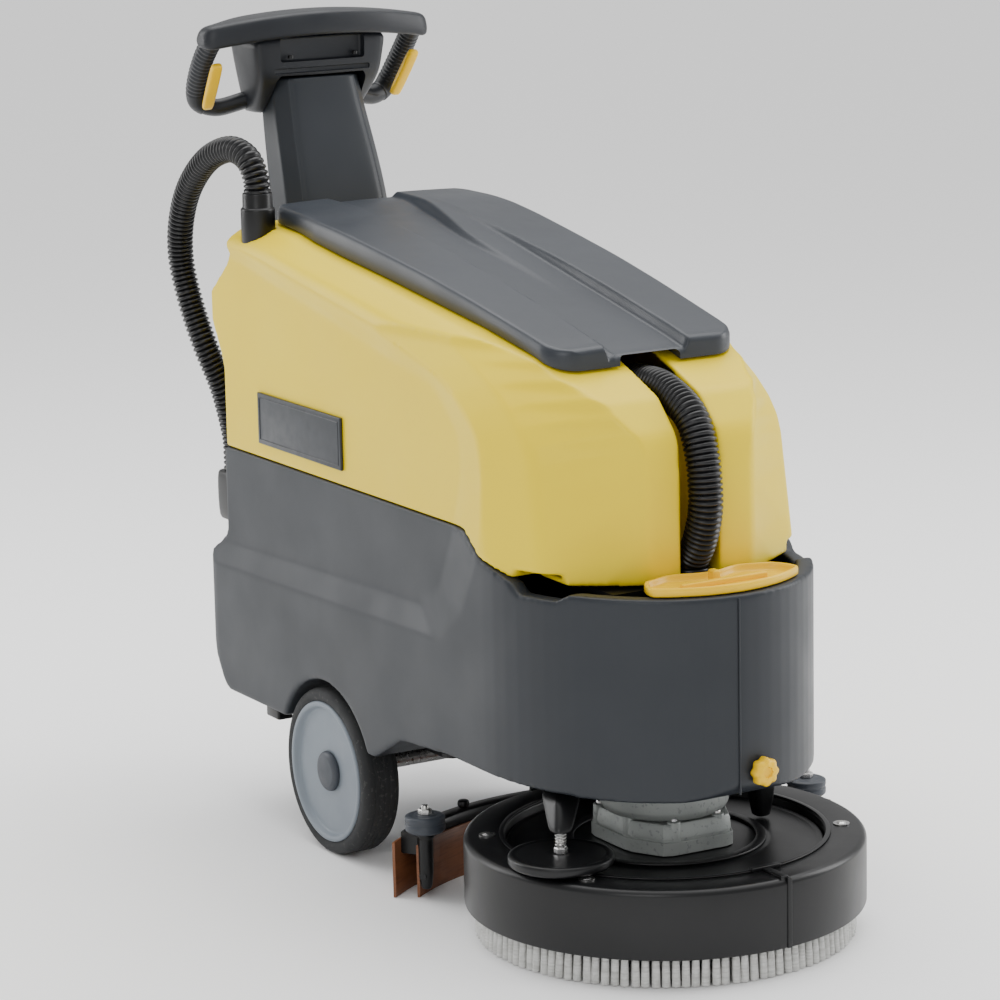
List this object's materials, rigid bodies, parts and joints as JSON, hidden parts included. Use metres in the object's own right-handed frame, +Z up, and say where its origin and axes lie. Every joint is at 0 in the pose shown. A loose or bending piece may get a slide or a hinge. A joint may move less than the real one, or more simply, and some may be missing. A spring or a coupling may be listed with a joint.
{
  "type": "wet dry floor scrubber",
  "caption": "Compact walk-behind floor scrubber: round brush deck in front, curved squeegee behind it, dirty water tank stacked on the clean water body, lifting lid and upright handle.",
  "frame": {"origin": "centre of the footprint box on the floor", "axes": "+X towards the brush, +Y to the machine's left, +Z up"},
  "size_m": [1.149, 0.5646, 1.0315],
  "materials": {
    "yellow_tank": "satin rotomoulded",
    "grey_body": "satin rotomoulded",
    "grey_lid": "satin",
    "black_plastic": "satin gloss",
    "grip_plastic": "fine grain",
    "yellow_control": "satin gloss",
    "badge": "satin",
    "hose": "ribbed, satin",
    "tyre_rubber": "matt rubber",
    "wheel_grey": "satin",
    "hub_cap": "satin",
    "cast_metal": "as cast",
    "steel": "zinc plated",
    "frame_paint": "satin paint",
    "bristle": "nylon filament",
    "blade_rubber": "smooth",
    "battery_case": "matt",
    "button_green": "gloss",
    "button_blue": "gloss"
  },
  "bodies": {
    "machine": {"axle": "steel", "badge_plate_left": "badge", "badge_plate_right": "badge", "battery_1": "battery_case", "battery_2": "battery_case", "chassis_frame": "frame_paint", "column": "grey_body", "column_cover": "black_plastic", "control_panel": "black_plastic", "deck_cover": "black_plastic", "deck_leg": "black_plastic", "deck_plate": "black_plastic", "deck_screw_1": "steel", "deck_screw_2": "steel", "deck_screw_3": "steel", "deck_screw_4": "steel", "drain_end_holder": "black_plastic", "drain_hose": "hose", "float_cage": "black_plastic", "front_hose": "hose", "gear_motor": "cast_metal", "gearbox": "cast_metal", "handle_head": "grip_plastic", "hose_cuff": "black_plastic", "lid_hinge_pin": "steel", "lower_tank": "grey_body", "neck_plate": "black_plastic", "recovery_tank": "yellow_tank", "roller_bolt": "steel", "roller_leg": "black_plastic", "vacuum_motor": "cast_metal"},
    "brush": {"drive_hub": "cast_metal", "brush_block": "black_plastic", "bristles": "bristle"},
    "squeegee": {"squeegee_carrier": "black_plastic", "front_blade": "blade_rubber", "rear_blade": "blade_rubber", "swing_arm": "frame_paint", "suction_nozzle": "black_plastic", "roller_stud_left": "steel", "roller_stud_right": "steel", "end_post_left": "black_plastic", "end_post_right": "black_plastic"},
    "end_roller_left": {"end_roller_left": "wheel_grey"},
    "end_roller_right": {"end_roller_right": "wheel_grey"},
    "wheel_left": {"tyre_left": "tyre_rubber", "wheel_hub_left": "wheel_grey", "hub_cap_left": "hub_cap"},
    "wheel_right": {"tyre_right": "tyre_rubber", "wheel_hub_right": "wheel_grey", "hub_cap_right": "hub_cap"},
    "side_roller": {"side_roller": "black_plastic"},
    "lid": {"lid": "grey_lid"},
    "filler_cap": {"filler_cap": "yellow_control"},
    "valve": {"valve_knob": "yellow_control", "valve_stem": "cast_metal"},
    "trigger_left": {"trigger_left": "yellow_control"},
    "trigger_right": {"trigger_right": "yellow_control"},
    "brush_button": {"brush_button": "button_green"},
    "vacuum_button": {"vacuum_button": "button_blue"}
  },
  "joints": [
    {"name": "brush_spin", "type": "hinge", "parent": "machine", "child": "brush", "pos_m": [0.3375, -0.0443, 0.09], "axis": [0, 0, 1], "continuous": true},
    {"name": "squeegee_swing", "type": "hinge", "parent": "machine", "child": "squeegee", "pos_m": [0.3375, -0.0443, 0.119], "axis": [0, 0, 1], "range_deg": [0, 31]},
    {"name": "end_roller_left_spin", "type": "hinge", "parent": "squeegee", "child": "end_roller_left", "pos_m": [0.22067, 0.24122, 0.096], "axis": [0, 0, 1], "continuous": true},
    {"name": "end_roller_right_spin", "type": "hinge", "parent": "squeegee", "child": "end_roller_right", "pos_m": [0.08966, -0.228, 0.096], "axis": [0, 0, 1], "continuous": true},
    {"name": "wheel_left_spin", "type": "hinge", "parent": "machine", "child": "wheel_left", "pos_m": [-0.1435, 0.1532, 0.1063], "axis": [0, 1, 0], "continuous": true},
    {"name": "wheel_right_spin", "type": "hinge", "parent": "machine", "child": "wheel_right", "pos_m": [-0.1435, -0.2418, 0.1063], "axis": [0, 1, 0], "continuous": true},
    {"name": "side_roller_spin", "type": "hinge", "parent": "machine", "child": "side_roller", "pos_m": [0.3935, -0.2213, 0.1285], "axis": [0, 0, 1], "continuous": true},
    {"name": "lid_hinge", "type": "hinge", "parent": "machine", "child": "lid", "pos_m": [-0.34, -0.0443, 0.789], "axis": [0, -1, 0], "range_deg": [0, 80]},
    {"name": "cap_lift", "type": "slide", "parent": "machine", "child": "filler_cap", "axis": [0, 0, 1], "range_m": [0, 0.012]},
    {"name": "valve_turn", "type": "hinge", "parent": "machine", "child": "valve", "pos_m": [0.5135, -0.0263, 0.229], "axis": [0.995, 0.0998, 0], "range_deg": [0, 180]},
    {"name": "trigger_left_squeeze", "type": "hinge", "parent": "machine", "child": "trigger_left", "pos_m": [-0.5265, 0.0957, 0.906], "axis": [0, -1, 0], "range_deg": [0, 4.5], "stiffness_Nm_per_rad": 0.5},
    {"name": "trigger_right_squeeze", "type": "hinge", "parent": "machine", "child": "trigger_right", "pos_m": [-0.5265, -0.1843, 0.906], "axis": [0, -1, 0], "range_deg": [0, 4.5], "stiffness_Nm_per_rad": 0.5},
    {"name": "brush_button_press", "type": "slide", "parent": "machine", "child": "brush_button", "axis": [1, 0, 0], "range_m": [0, 0.003], "stiffness_N_per_m": 300},
    {"name": "vacuum_button_press", "type": "slide", "parent": "machine", "child": "vacuum_button", "axis": [1, 0, 0], "range_m": [0, 0.003], "stiffness_N_per_m": 300}
  ]
}
